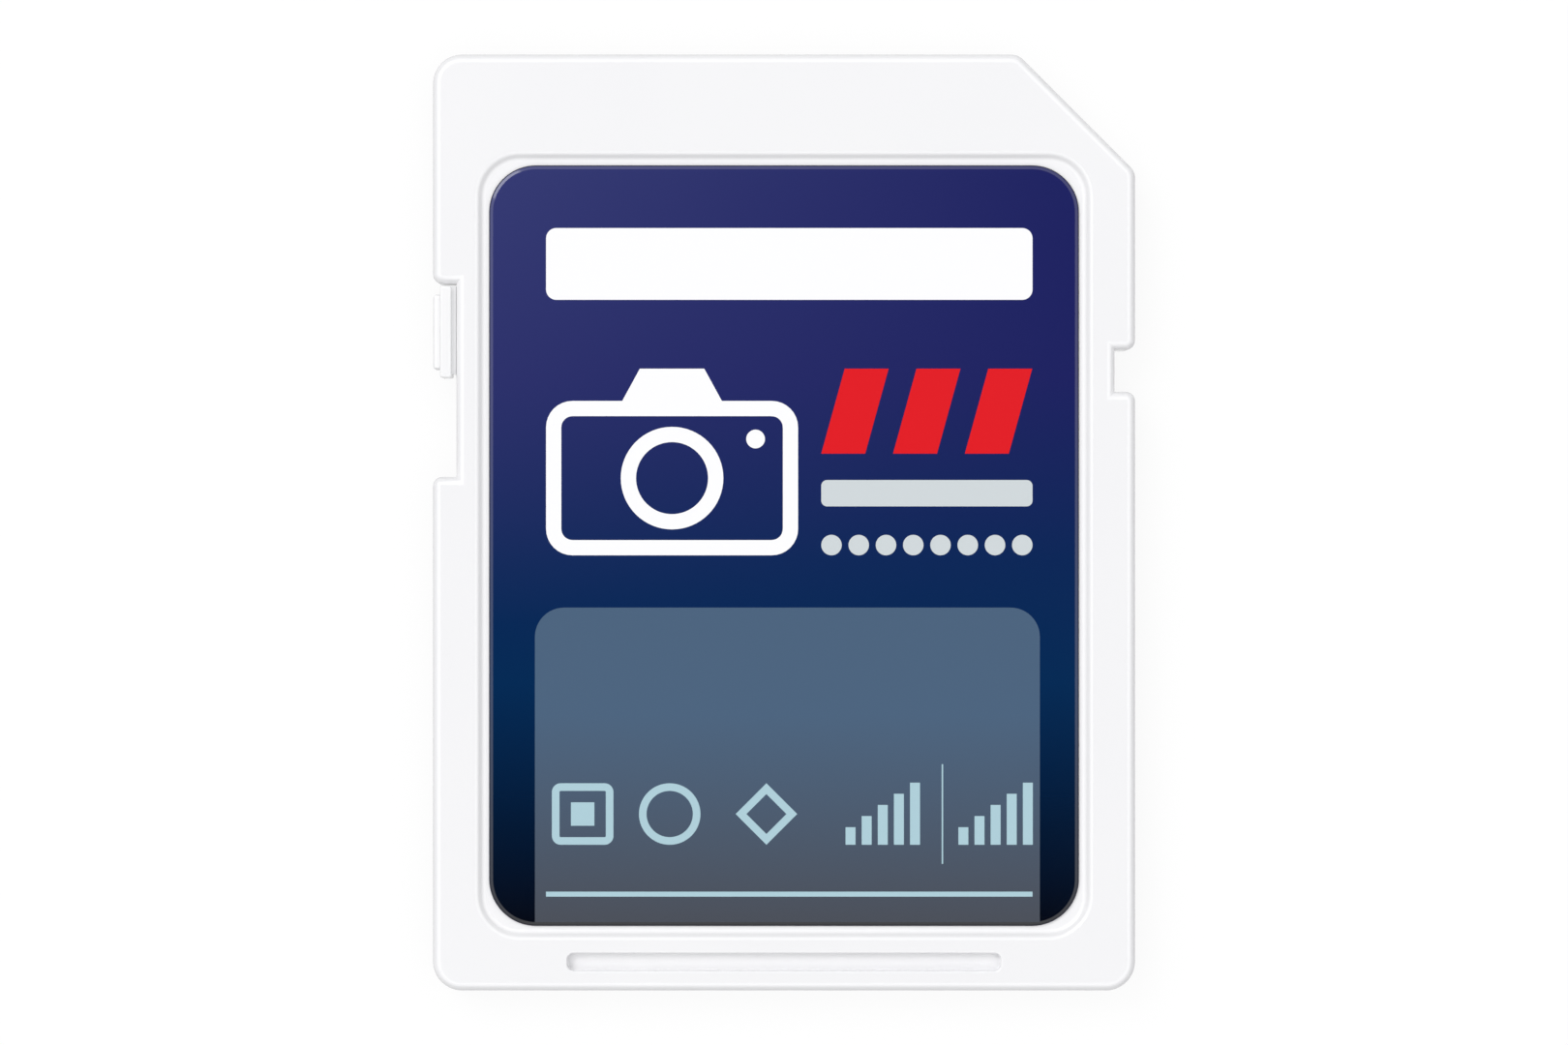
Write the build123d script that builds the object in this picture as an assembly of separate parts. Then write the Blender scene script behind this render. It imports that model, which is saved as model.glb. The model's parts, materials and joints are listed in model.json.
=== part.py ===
from build123d import *
from math import sqrt
import os

# A full-size memory card that lies on its back. X runs across the card, +Y points at the contact
# end, which goes into a socket first, and +Z points out of the labelled front. The origin is the
# centre of the back face. All sizes are in millimetres.

# Card envelope
CARD_WIDTH = 24.0
CARD_LENGTH = 32.0
CARD_THICKNESS = 2.1
CORNER_RADIUS = 1.0
CORNER_CUT = 4.0
CUT_RADIUS = 0.5
FACE_EDGE_RADIUS = 0.3

# Back: side rails, which a socket grips, the thick slab between them and its lead-in bevel
RAIL_THICKNESS = 1.4
RAIL_WIDTH = 0.9
BACK_CORNER_RADIUS = 0.6
BACK_CHAMFER = 0.12
LEAD_IN = 0.3

# Lock notch in the left edge and latch notch in the right edge, placed from the contact end
LOCK_NOTCH_START = 7.84
LOCK_NOTCH_LENGTH = 6.6
LOCK_NOTCH_DEPTH = 0.8
LATCH_NOTCH_START = 10.1
LATCH_NOTCH_LENGTH = 1.43
LATCH_NOTCH_DEPTH = 0.7
NOTCH_MOUTH_ROUNDING = 0.02

# Finger groove near the back end of the front face, placed from the rounded edge
GROOVE_LENGTH = 14.8
GROOVE_WIDTH = 0.6
GROOVE_MARGIN = 0.4
GROOVE_DEPTH = 0.3
GROOVE_CORNER_RADIUS = 0.22
GROOVE_SLOPE = 0.12

# Label recess in the front face: clear of the lock notch, the corner cut and the groove
RECESS_SIDE_LAND = 0.43
RECESS_CUT_RISE = 0.6
RECESS_GROOVE_LAND = 0.52
RECESS_RADIUS = 1.45
RECESS_DEPTH = 0.2
RECESS_SLOPE = 0.13
LIP_CHAMFER = 0.05

# Label
LABEL_GAP = 0.4
LABEL_RADIUS = 1.6
LABEL_THICKNESS = 0.14
LABEL_BEVEL = 0.1

# Shell walls, the cavity between the shells and the seam
NOTCH_WALL = 0.4
FRONT_WALL = 0.22
FRONT_CAVITY_DEPTH = 0.28
CAVITY_RADIUS = 0.4
SEAM_CHAMFER = 0.04
FLOOR_SHARE = 0.4
FLOOR_RIB = 0.8
POCKET_RADIUS = 0.5
POCKET_COLUMNS = 2
POCKET_ROWS = 3

# Contacts, by their numbers in a socket, from the left edge to the cut corner, seen from the front.
# Their windows lie between the ribs of a comb, and the wide windows share the room that is left.
NARROW_CONTACTS = ["contact_8", "contact_7"]
MIDDLE_CONTACTS = [f"contact_{number}" for number in (6, 5, 4, 3, 2, 1)]
CORNER_CONTACT = "contact_9"
CONTACTS = [*NARROW_CONTACTS, *MIDDLE_CONTACTS, CORNER_CONTACT]
COMB_LEFT_MARGIN = 1.625
COMB_RIGHT_MARGIN = 1.675
NARROW_WINDOW_WIDTH = 1.25
NARROW_RIB = 0.45
STEP_RIB = 0.85
COMB_RIB = 0.6
WINDOW_END = 5.9
CORNER_WINDOW_END = 7.7
PAD_MARGIN = 0.12
PAD_THICKNESS = 0.035
BACKING_RIB_WIDTH = 0.6

# Circuit board and its locating pins
BOARD_THICKNESS = 0.36
BOARD_CLEARANCE = 0.1
PIN_DIAMETER = 1.0
PIN_CLEARANCE = 0.05
PIN_INSET = 1.3

# Packages and chips on the board, with the air that each leaves under the front shell
COMPONENT_GAP = 0.5
FLASH_WIDTH = 12.0
FLASH_OFFSET = 0.6
FLASH_AIR = 0.035
CONTROLLER_WIDTH = 4.4
CONTROLLER_LENGTH = 4.4
CONTROLLER_OFFSET = 2.6
CONTROLLER_AIR = 0.085
PACKAGE_CHAMFER = 0.08
PIN_ONE_DIAMETER = 0.8
PIN_ONE_DEPTH = 0.06
PIN_ONE_INSET = 1.1
CHIP_LENGTH = 1.0
CHIP_WIDTH = 0.5
CHIP_GAP = 0.45
CHIP_CAP = 0.22
CHIP_CAP_STEP = 0.02
COLUMN_GAP = 1.3
CAPACITOR_COUNT = 6
CAPACITOR_AIR = 0.1
RESISTOR_COUNT = 4
RESISTOR_AIR = 0.25

# Lock slider: a stepped bar in the notch, with a ledge along the notch's floor, a web through the
# wall and a keeper inside it
LOCK_BODY_LENGTH = 3.13
LOCK_BODY_INSET = 0.12
LOCK_FLOOR_GAP = 0.17
LOCK_END_GAP = 0.08
LOCK_TAB_WIDTH = 0.25
LOCK_TAB_INSET = 0.28
LOCK_TAB_STEP = 0.14
LOCK_LEDGE_STEP = 0.2
LOCK_WEB_INSET = 0.13
LOCK_WEB_THICKNESS = 0.36
LOCK_KEEPER_INSET = 0.365
LOCK_KEEPER_WIDTH = 0.4
LOCK_KEEPER_GAP = 0.08
LOCK_CLEARANCE = 0.05
LOCK_BAY_CLEARANCE = 0.2
LOCK_CHAMFER = 0.05

# Largest part of its wall that a rounding or bevel takes
ROUNDING_SHARE = 0.9

# Heights that follow from the sizes above
RAIL_BOTTOM = CARD_THICKNESS - RAIL_THICKNESS
BOARD_BOTTOM = RAIL_BOTTOM + PAD_THICKNESS
BOARD_TOP = BOARD_BOTTOM + BOARD_THICKNESS
RECESS_FLOOR = CARD_THICKNESS - RECESS_DEPTH
CEILING = RECESS_FLOOR - FRONT_WALL
SEAM_HEIGHT = CEILING - FRONT_CAVITY_DEPTH
POCKET_DEPTH = FLOOR_SHARE * BOARD_BOTTOM

# Places that follow from the sizes above
HALF_WIDTH = CARD_WIDTH / 2
LEADING_EDGE = CARD_LENGTH / 2
TRAILING_EDGE = -CARD_LENGTH / 2
WALL = LOCK_NOTCH_DEPTH + NOTCH_WALL
CAVITY_HALF_WIDTH = HALF_WIDTH - WALL
CAVITY_BACK = TRAILING_EDGE + WALL
PIN_ROW = CAVITY_BACK + PIN_INSET
PIN_REACH = PIN_DIAMETER / 2 + PIN_CLEARANCE
GROOVE_BOTTOM = TRAILING_EDGE + FACE_EDGE_RADIUS + GROOVE_MARGIN
RECESS_BOTTOM = GROOVE_BOTTOM + GROOVE_WIDTH + RECESS_GROOVE_LAND
RECESS_TOP = LEADING_EDGE - CORNER_CUT + RECESS_CUT_RISE
RECESS_SIDE = HALF_WIDTH - LOCK_NOTCH_DEPTH - FACE_EDGE_RADIUS - RECESS_SIDE_LAND
WIDE_COUNT = len(CONTACTS) - len(NARROW_CONTACTS)
COMB_ROOM = CARD_WIDTH - COMB_LEFT_MARGIN - COMB_RIGHT_MARGIN - NARROW_RIB - STEP_RIB
NARROW_ROOM = len(NARROW_CONTACTS) * NARROW_WINDOW_WIDTH
WINDOW_WIDTH = (COMB_ROOM - NARROW_ROOM - (WIDE_COUNT - 1) * COMB_RIB) / WIDE_COUNT
CHIP_PITCH = CHIP_WIDTH + CHIP_GAP
COMPONENT_FRONT = LEADING_EDGE - WINDOW_END - COMPONENT_GAP
COMPONENT_DEPTH = max(CONTROLLER_LENGTH, CAPACITOR_COUNT * CHIP_PITCH, RESISTOR_COUNT * CHIP_PITCH)
COLUMN_OFFSET = (CONTROLLER_WIDTH + CHIP_LENGTH) / 2 + COLUMN_GAP
FLASH_FRONT = COMPONENT_FRONT - COMPONENT_DEPTH - COMPONENT_GAP
FLASH_BACK = PIN_ROW + PIN_REACH + COMPONENT_GAP
LOCK_NOTCH_FLOOR = -HALF_WIDTH + LOCK_NOTCH_DEPTH
LOCK_TOP = LEADING_EDGE - LOCK_NOTCH_START - LOCK_END_GAP
LOCK_BOTTOM = LOCK_TOP - LOCK_BODY_LENGTH
LOCK_TRAVEL = LOCK_NOTCH_LENGTH - LOCK_BODY_LENGTH - 2 * LOCK_END_GAP
LOCK_WEB_BOTTOM = LOCK_BOTTOM + LOCK_WEB_INSET
KEEPER_FACE = -CAVITY_HALF_WIDTH + LOCK_CLEARANCE
KEEPER_BACK = KEEPER_FACE + LOCK_KEEPER_WIDTH
KEEPER_TOP = LOCK_TOP - LOCK_KEEPER_INSET
KEEPER_BOTTOM = LOCK_BOTTOM + LOCK_KEEPER_INSET


def limited(radius, *walls):
    """Size of a rounding or bevel, held under its share of the smallest wall that it lies on."""
    return min(radius, ROUNDING_SHARE * min(walls))


def block(x_range, y_range, z_range):
    """Box between two values on each axis."""
    size = [high - low for low, high in (x_range, y_range, z_range)]
    low = (x_range[0], y_range[0], z_range[0])
    return Pos(*low) * Box(*size, align=(Align.MIN, Align.MIN, Align.MIN))


def field(x_range, y_range):
    """Rectangle between two values on each axis of the XY plane."""
    low = (x_range[0], y_range[0])
    size = (x_range[1] - x_range[0], y_range[1] - y_range[0])
    return Pos(*low) * Rectangle(*size, align=(Align.MIN, Align.MIN))


def prism(sketch, bottom, top):
    """Sketch on the XY plane drawn up between two heights."""
    return Pos(0, 0, bottom) * extrude(sketch, top - bottom)


def cut_diagonal(inset):
    """Sum of X and Y along the line that cuts the corner, moved in by an inset."""
    return HALF_WIDTH + LEADING_EDGE - CORNER_CUT - sqrt(2) * inset


def card_plan(inset=0.0, rail=0.0, radius=CORNER_RADIUS, cut_radius=CUT_RADIUS):
    """Outline of the card with its right front corner cut, moved in on every side and by a rail."""
    right = HALF_WIDTH - inset - rail
    front = LEADING_EDGE - inset
    diagonal = cut_diagonal(inset)
    cut = [(right, diagonal - right), (diagonal - front, front)]
    outline = Polygon((-right, -front), (right, -front), *cut, (-right, front), align=None)
    towards_cut = Axis((0, 0, 0), (1, 1, 0))
    outline = fillet(outline.vertices().sort_by(towards_cut)[-2:], cut_radius)
    return fillet(outline.vertices().sort_by(towards_cut)[:3], radius)


def notch_plan(side, start, length, depth):
    """Rectangle of a notch in one long edge: side is -1 for the left edge and 1 for the right."""
    centre = LEADING_EDGE - start - length / 2
    return Pos(side * HALF_WIDTH, centre) * Rectangle(2 * depth, length)


def lock_notch():
    """Rectangle of the notch that the lock slider runs in."""
    return notch_plan(-1, LOCK_NOTCH_START, LOCK_NOTCH_LENGTH, LOCK_NOTCH_DEPTH)


def latch_notch():
    """Rectangle of the notch that a socket's latch drops into."""
    return notch_plan(1, LATCH_NOTCH_START, LATCH_NOTCH_LENGTH, LATCH_NOTCH_DEPTH)


def round_notch(outline, notch, side, depth):
    """Outline less a notch, with the corners at its mouth rounded."""
    reach = notch.bounding_box()
    outline -= notch
    radius = limited(FACE_EDGE_RADIUS + NOTCH_MOUTH_ROUNDING, depth)
    for y in (reach.min.Y, reach.max.Y):
        outline = fillet(outline.vertices().sort_by_distance((side * HALF_WIDTH, y, 0))[0], radius)
    return outline


def notched_plan():
    """Outline of the card with the lock notch and the latch notch."""
    outline = round_notch(card_plan(), lock_notch(), -1, LOCK_NOTCH_DEPTH)
    return round_notch(outline, latch_notch(), 1, LATCH_NOTCH_DEPTH)


def cavity_plan(clearance=0.0):
    """Outline of the cavity between the shells, or of what fits in it with a clearance."""
    return card_plan(WALL + clearance, 0.0, CAVITY_RADIUS, CAVITY_RADIUS)


def lock_slot():
    """Slot through the left wall, along which the slider's web runs."""
    half_height = LOCK_WEB_THICKNESS / 2 + LOCK_CLEARANCE
    return block(
        (LOCK_NOTCH_FLOOR - LOCK_FLOOR_GAP, KEEPER_FACE),
        (LOCK_WEB_BOTTOM - LOCK_TRAVEL - LOCK_CLEARANCE, LOCK_TOP + LOCK_CLEARANCE),
        (SEAM_HEIGHT - half_height, SEAM_HEIGHT + half_height),
    )


def pins(radius, bottom, top):
    """Round bars at the two locating pins, near the trailing corners of the cavity."""
    x = CAVITY_HALF_WIDTH - PIN_INSET
    places = Locations((-x, PIN_ROW), (x, PIN_ROW))
    return prism(Sketch() + [place * Circle(radius) for place in places], bottom, top)


def window_spans():
    """Left and right side of each contact's window, laid out from the left edge of the comb."""
    ribs = dict(zip(NARROW_CONTACTS, (NARROW_RIB, STEP_RIB)))
    spans = {}
    left = -HALF_WIDTH + COMB_LEFT_MARGIN
    for name in CONTACTS:
        right = left + (NARROW_WINDOW_WIDTH if name in NARROW_CONTACTS else WINDOW_WIDTH)
        spans[name] = (left, right)
        left = right + ribs.get(name, COMB_RIB)
    return spans


def window_plan(name, margin=0.0):
    """Strip of a contact's window, open past the leading edge, or what lies in it with a margin."""
    left, right = window_spans()[name]
    end = CORNER_WINDOW_END if name == CORNER_CONTACT else WINDOW_END
    return field((left + margin, right - margin), (LEADING_EDGE - end + margin, LEADING_EDGE + WALL))


def pad_plan(name):
    """Outline of a contact pad: its window less a margin, up to the board's edges or the cut."""
    inset = WALL + BOARD_CLEARANCE + PAD_MARGIN
    strip = window_plan(name, PAD_MARGIN).bounding_box()
    left = max(strip.min.X, inset - HALF_WIDTH)
    right = min(strip.max.X, HALF_WIDTH - inset)
    front = min(LEADING_EDGE - inset, cut_diagonal(inset) - right)
    return field((left, right), (strip.min.Y, front))


def backing_rib_plan(name):
    """Outline of the rib that backs the board behind a contact."""
    centre = sum(window_spans()[name]) / 2
    strip = (centre - BACKING_RIB_WIDTH / 2, centre + BACKING_RIB_WIDTH / 2)
    return pad_plan(name) & field(strip, (TRAILING_EDGE, LEADING_EDGE))


def recess_plan(gap, radius):
    """Outline of the label recess, or of what lies in it with a gap all round."""
    width = 2 * (RECESS_SIDE - gap)
    length = RECESS_TOP - RECESS_BOTTOM - 2 * gap
    return Pos(0, (RECESS_TOP + RECESS_BOTTOM) / 2) * RectangleRounded(width, length, radius)


def groove_plan(radius):
    """Outline of the finger groove."""
    centre = GROOVE_BOTTOM + GROOVE_WIDTH / 2
    return Pos(0, centre) * RectangleRounded(GROOVE_LENGTH, GROOVE_WIDTH, radius)


def sink(body, outline, depth, slope):
    """Body with an outline pressed into its front face, with a sloping wall and a soft lip."""
    cutter = prism(outline, CARD_THICKNESS - depth, CARD_THICKNESS)
    body -= chamfer(cutter.edges().group_by(Axis.Z)[0], limited(slope, depth - LIP_CHAMFER))
    reach = outline.bounding_box()
    lip = [
        edge
        for edge in body.edges().group_by(Axis.Z)[-1]
        if reach.min.Y - LIP_CHAMFER < edge.center().Y < reach.max.Y + LIP_CHAMFER
        and reach.min.X - LIP_CHAMFER < edge.center().X < reach.max.X + LIP_CHAMFER
    ]
    return chamfer(lip, LIP_CHAMFER)


def front_shell():
    """Front half of the housing: recessed face, wall, ribs that back the contacts and two pins."""
    wall = CARD_THICKNESS - SEAM_HEIGHT - SEAM_CHAMFER
    shell = prism(notched_plan(), SEAM_HEIGHT, CARD_THICKNESS)
    edge_radius = limited(FACE_EDGE_RADIUS, CORNER_RADIUS, CUT_RADIUS, wall)
    shell = fillet(shell.edges().group_by(Axis.Z)[-1], edge_radius)
    shell = chamfer(shell.edges().group_by(Axis.Z)[0], SEAM_CHAMFER)
    recess_slope = limited(RECESS_SLOPE, LABEL_GAP)
    shell = sink(shell, recess_plan(0, RECESS_RADIUS), RECESS_DEPTH, recess_slope)
    corner_radius = limited(GROOVE_CORNER_RADIUS, GROOVE_WIDTH / 2)
    groove_slope = limited(GROOVE_SLOPE, corner_radius)
    shell = sink(shell, groove_plan(corner_radius), GROOVE_DEPTH, groove_slope)
    shell -= prism(cavity_plan(), SEAM_HEIGHT, CEILING)
    shell -= lock_slot()
    for name in CONTACTS:
        shell += prism(backing_rib_plan(name), BOARD_TOP, CEILING)
    return shell + pins(PIN_DIAMETER / 2, BOARD_BOTTOM - POCKET_DEPTH, CEILING)


def floor_pockets():
    """Outlines of the pockets that thin the floor of the back shell, in columns and rows."""
    margin = PIN_INSET + PIN_REACH + FLOOR_RIB
    front = LEADING_EDGE - max(WINDOW_END, CORNER_WINDOW_END) - FLOOR_RIB
    back = CAVITY_BACK + margin
    pitch_x = (2 * (CAVITY_HALF_WIDTH - margin) + FLOOR_RIB) / POCKET_COLUMNS
    pitch_y = (front - back + FLOOR_RIB) / POCKET_ROWS
    pocket = RectangleRounded(pitch_x - FLOOR_RIB, pitch_y - FLOOR_RIB, POCKET_RADIUS)
    places = Pos(0, (front + back) / 2) * GridLocations(pitch_x, pitch_y, POCKET_COLUMNS, POCKET_ROWS)
    return Sketch() + [place * pocket for place in places]


def lead_in():
    """Wedge that bevels the back face along the leading edge, so that the comb enters a socket."""
    corner = (LEADING_EDGE, 0)
    wedge = Polygon(corner, (LEADING_EDGE - LEAD_IN, 0), (LEADING_EDGE, LEAD_IN), align=None)
    return extrude(Plane.YZ * wedge, HALF_WIDTH, both=True)


def back_slab():
    """Thick middle of the back, between the rails, with a bevelled edge and the lead-in bevel."""
    plan = card_plan(0.0, RAIL_WIDTH, BACK_CORNER_RADIUS) - lock_notch() - latch_notch()
    slab = prism(plan, 0, (RAIL_BOTTOM + SEAM_HEIGHT) / 2)
    bevel = limited(BACK_CHAMFER, RAIL_BOTTOM, BACK_CORNER_RADIUS, CUT_RADIUS)
    return chamfer(slab.edges().group_by(Axis.Z)[0], bevel) - lead_in()


def back_shell():
    """Back half of the housing: rails, slab, board seat and the comb between the contact windows."""
    shell = prism(notched_plan(), RAIL_BOTTOM, SEAM_HEIGHT)
    shell = chamfer(shell.edges().group_by(Axis.Z)[-1], SEAM_CHAMFER)
    bevel = limited(BACK_CHAMFER, (SEAM_HEIGHT - RAIL_BOTTOM) / 2, CORNER_RADIUS, CUT_RADIUS)
    shell = chamfer(shell.edges().group_by(Axis.Z)[0], bevel)
    shell += back_slab()
    shell -= prism(cavity_plan(), BOARD_BOTTOM, SEAM_HEIGHT)
    shell -= prism(floor_pockets(), BOARD_BOTTOM - POCKET_DEPTH, BOARD_BOTTOM)
    shell -= pins(PIN_REACH, BOARD_BOTTOM - POCKET_DEPTH - PIN_CLEARANCE, BOARD_BOTTOM)
    shell -= lock_slot()
    for name in CONTACTS:
        window = window_plan(name)
        shell -= prism(window, 0, RAIL_BOTTOM)
        shell -= prism(window & cavity_plan(), 0, BOARD_BOTTOM)
    return shell


def front_label():
    """Printed film that lies in the recess."""
    film = prism(recess_plan(LABEL_GAP, LABEL_RADIUS), RECESS_FLOOR, RECESS_FLOOR + LABEL_THICKNESS)
    return chamfer(film.edges().group_by(Axis.Z)[-1], limited(LABEL_BEVEL, LABEL_THICKNESS))


def circuit_board():
    """Board with pin holes and a bay in its left edge, in which the slider's keeper runs."""
    board = prism(cavity_plan(BOARD_CLEARANCE), BOARD_BOTTOM, BOARD_TOP)
    bay = block(
        (-HALF_WIDTH, KEEPER_BACK + LOCK_BAY_CLEARANCE),
        (KEEPER_BOTTOM - LOCK_TRAVEL - LOCK_BAY_CLEARANCE, KEEPER_TOP + LOCK_BAY_CLEARANCE),
        (BOARD_BOTTOM, BOARD_TOP),
    )
    return board - bay - pins(PIN_REACH, BOARD_BOTTOM, BOARD_TOP)


def contact(name):
    """Gold pad on the underside of the board."""
    return prism(pad_plan(name), RAIL_BOTTOM, BOARD_BOTTOM)


def package(offset, width, back, front, air):
    """Moulded package on the board, under some air, with a dimple at its first pin."""
    top = CEILING - air
    body = prism(field((offset - width / 2, offset + width / 2), (back, front)), BOARD_TOP, top)
    body = chamfer(body.edges().group_by(Axis.Z)[-1], PACKAGE_CHAMFER)
    corner = Pos(offset - width / 2 + PIN_ONE_INSET, front - PIN_ONE_INSET)
    return body - prism(corner * Circle(PIN_ONE_DIAMETER / 2), top - PIN_ONE_DEPTH, top)


def flash_memory():
    """Memory package, between the locating pins and the smaller parts."""
    return package(FLASH_OFFSET, FLASH_WIDTH, FLASH_BACK, FLASH_FRONT, FLASH_AIR)


def controller():
    """Controller package, behind the contacts."""
    back = COMPONENT_FRONT - CONTROLLER_LENGTH
    return package(CONTROLLER_OFFSET, CONTROLLER_WIDTH, back, COMPONENT_FRONT, CONTROLLER_AIR)


def chip(offset, index, air):
    """Chip capacitor or resistor in a column on the board: a waisted body between two end caps."""
    top = CEILING - air
    place = Pos(offset, COMPONENT_FRONT - CHIP_WIDTH / 2 - index * CHIP_PITCH)
    waist = CHIP_LENGTH - 2 * CHIP_CAP
    sides = Rectangle(waist, CHIP_WIDTH) - Rectangle(waist, CHIP_WIDTH - 2 * CHIP_CAP_STEP)
    body = prism(place * Rectangle(CHIP_LENGTH, CHIP_WIDTH), BOARD_TOP, top)
    body -= prism(place * sides, BOARD_TOP, top)
    return body - prism(place * Rectangle(waist, CHIP_WIDTH), top - CHIP_CAP_STEP, top)


def lock_slider():
    """Lock tab: a stepped bar and a ledge in the notch, a web through the slot and a keeper inside."""
    low = RAIL_BOTTOM + LOCK_BODY_INSET
    high = CARD_THICKNESS - LOCK_BODY_INSET
    inner = LOCK_NOTCH_FLOOR - LOCK_FLOOR_GAP
    half_web = LOCK_WEB_THICKNESS / 2
    body = block((-HALF_WIDTH + LOCK_TAB_WIDTH, inner), (LOCK_BOTTOM, LOCK_TOP), (low, high))
    tab = block(
        (-HALF_WIDTH, inner - LOCK_CHAMFER),
        (LOCK_BOTTOM + LOCK_TAB_INSET, LOCK_TOP - LOCK_TAB_INSET),
        (low + LOCK_TAB_STEP, high - LOCK_TAB_STEP),
    )
    ledge = block(
        (inner - LOCK_CHAMFER, LOCK_NOTCH_FLOOR - LOCK_CLEARANCE),
        (LOCK_WEB_BOTTOM, LOCK_TOP),
        (low + LOCK_LEDGE_STEP, high - LOCK_LEDGE_STEP),
    )
    web = block(
        (inner - LOCK_CHAMFER, KEEPER_FACE),
        (LOCK_WEB_BOTTOM, LOCK_TOP),
        (SEAM_HEIGHT - half_web, SEAM_HEIGHT + half_web),
    )
    keeper = block(
        (KEEPER_FACE, KEEPER_BACK),
        (KEEPER_BOTTOM, KEEPER_TOP),
        (BOARD_BOTTOM + LOCK_KEEPER_GAP, CEILING - LOCK_KEEPER_GAP),
    )
    bar = chamfer(body.edges(), LOCK_CHAMFER) + chamfer(tab.edges(), LOCK_CHAMFER)
    return bar + ledge + web + keeper


def card_parts():
    """Every piece of the card under its own name."""
    parts = {
        "front_shell": front_shell(),
        "back_shell": back_shell(),
        "front_label": front_label(),
        "lock_slider": lock_slider(),
        "circuit_board": circuit_board(),
        "flash_memory": flash_memory(),
        "controller": controller(),
    }
    for name in sorted(CONTACTS):
        parts[name] = contact(name)
    for index in range(CAPACITOR_COUNT):
        parts[f"capacitor_{index + 1}"] = chip(CONTROLLER_OFFSET - COLUMN_OFFSET, index, CAPACITOR_AIR)
    for index in range(RESISTOR_COUNT):
        parts[f"resistor_{index + 1}"] = chip(CONTROLLER_OFFSET + COLUMN_OFFSET, index, RESISTOR_AIR)
    return parts


os.makedirs("parts", exist_ok=True)
for name, part in card_parts().items():
    export_step(part, f"parts/{name}.step")
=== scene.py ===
"""Looks of a full-size camera memory card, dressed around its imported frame.

The card lies on its back on a pale floor. X runs across it, +Y points at its contact end and +Z out
of its labelled front. Pieces are shaped in millimetres and handed over in metres.
"""

import json
import logging
from abc import ABC, abstractmethod
from collections.abc import Callable, Iterator
from contextlib import contextmanager
from dataclasses import dataclass
from enum import Enum
from functools import cache
from math import radians, sqrt, tan
from typing import Self

import bmesh
import bpy
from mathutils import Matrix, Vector


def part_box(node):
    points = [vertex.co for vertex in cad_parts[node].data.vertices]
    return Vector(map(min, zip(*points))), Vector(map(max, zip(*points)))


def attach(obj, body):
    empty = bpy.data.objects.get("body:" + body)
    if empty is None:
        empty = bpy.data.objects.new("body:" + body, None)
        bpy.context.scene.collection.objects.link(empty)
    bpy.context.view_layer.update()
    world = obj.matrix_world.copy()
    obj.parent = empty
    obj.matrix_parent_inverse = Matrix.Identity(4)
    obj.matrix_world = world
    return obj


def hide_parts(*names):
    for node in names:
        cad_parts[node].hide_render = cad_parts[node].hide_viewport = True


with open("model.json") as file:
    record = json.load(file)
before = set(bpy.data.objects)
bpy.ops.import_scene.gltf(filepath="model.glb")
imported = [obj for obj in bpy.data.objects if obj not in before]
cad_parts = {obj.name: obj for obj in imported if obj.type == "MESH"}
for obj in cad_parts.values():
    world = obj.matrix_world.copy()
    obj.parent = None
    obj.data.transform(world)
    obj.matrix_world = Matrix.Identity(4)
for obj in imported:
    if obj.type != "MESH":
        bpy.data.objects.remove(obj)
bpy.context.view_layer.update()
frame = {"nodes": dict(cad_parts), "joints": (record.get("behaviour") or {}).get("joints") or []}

log = logging.getLogger("memory_card")

MILLIMETRE = 0.001
# Places closer than TOUCH count as one, and a cutting tool passes the face that it cuts by OVERRUN.
TOUCH = 1e-4
OVERRUN = 1.0
# Edges that turn further than LIP_ANGLE are sharp. CUT_TURN is the turn at both ends of the corner cut.
LIP_ANGLE = radians(20)
CUT_TURN = radians(45)
CONTACT_NUMBERS = range(1, 10)

Element = bmesh.types.BMVert | bmesh.types.BMEdge | bmesh.types.BMFace
Test = Callable[[Element], bool]
Colour = tuple[int, int, int]
Stops = tuple[tuple[float, Colour], ...]
Span = tuple[float, float]
Place = tuple[float, float]
Corner = tuple[float, float, float]
# Reach of a rounding and the number of its flats.
Rounding = tuple[float, int]
Material = bpy.types.Material
Node = bpy.types.Node
Socket = bpy.types.NodeSocket
Sockets = dict[str | int, object]


class Body(Enum):
    """Bodies of the frame that a piece can ride on."""

    HOUSING = "housing"
    LOCK = "lock"


class Slot(Enum):
    """Material slots of the record."""

    SHELL = "shell_white"
    SLIDER = "slider_white"
    LABEL = "label_film"
    CONTACT = "contact_gold"


class Pick(Enum):
    """Kinds of mesh element that a modelling step acts on."""

    POINTS = "VERT"
    EDGES = "EDGE"
    FACES = "FACE"


class Combine(Enum):
    """Ways to combine a tool with a workpiece."""

    CUT = "DIFFERENCE"
    WELD = "UNION"


def node_box(node: str) -> tuple[Vector, Vector]:
    """Lowest and highest corner of a CAD node, in millimetres."""
    low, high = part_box(node)
    return low / MILLIMETRE, high / MILLIMETRE


def linear(colour: Colour) -> tuple[float, float, float, float]:
    """Turns a screen colour, from 0 to 255, into a linear one with a full alpha, by the sRGB curve."""
    shares = [channel / 255 for channel in colour]
    return (*(s / 12.92 if s <= 0.04045 else ((s + 0.055) / 1.055) ** 2.4 for s in shares), 1.0)


def points_of(element: Element) -> list[Vector]:
    """Places of the points of a mesh element."""
    return [element.co] if isinstance(element, bmesh.types.BMVert) else [v.co for v in element.verts]


def everything(element: Element) -> bool:
    """Test that every element of a mesh passes."""
    return element.is_valid


def at_height(height: float) -> Test:
    """Makes a test for elements that lie flat at a height."""
    return lambda element: all(abs(p.z - height) < TOUCH for p in points_of(element))


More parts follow.
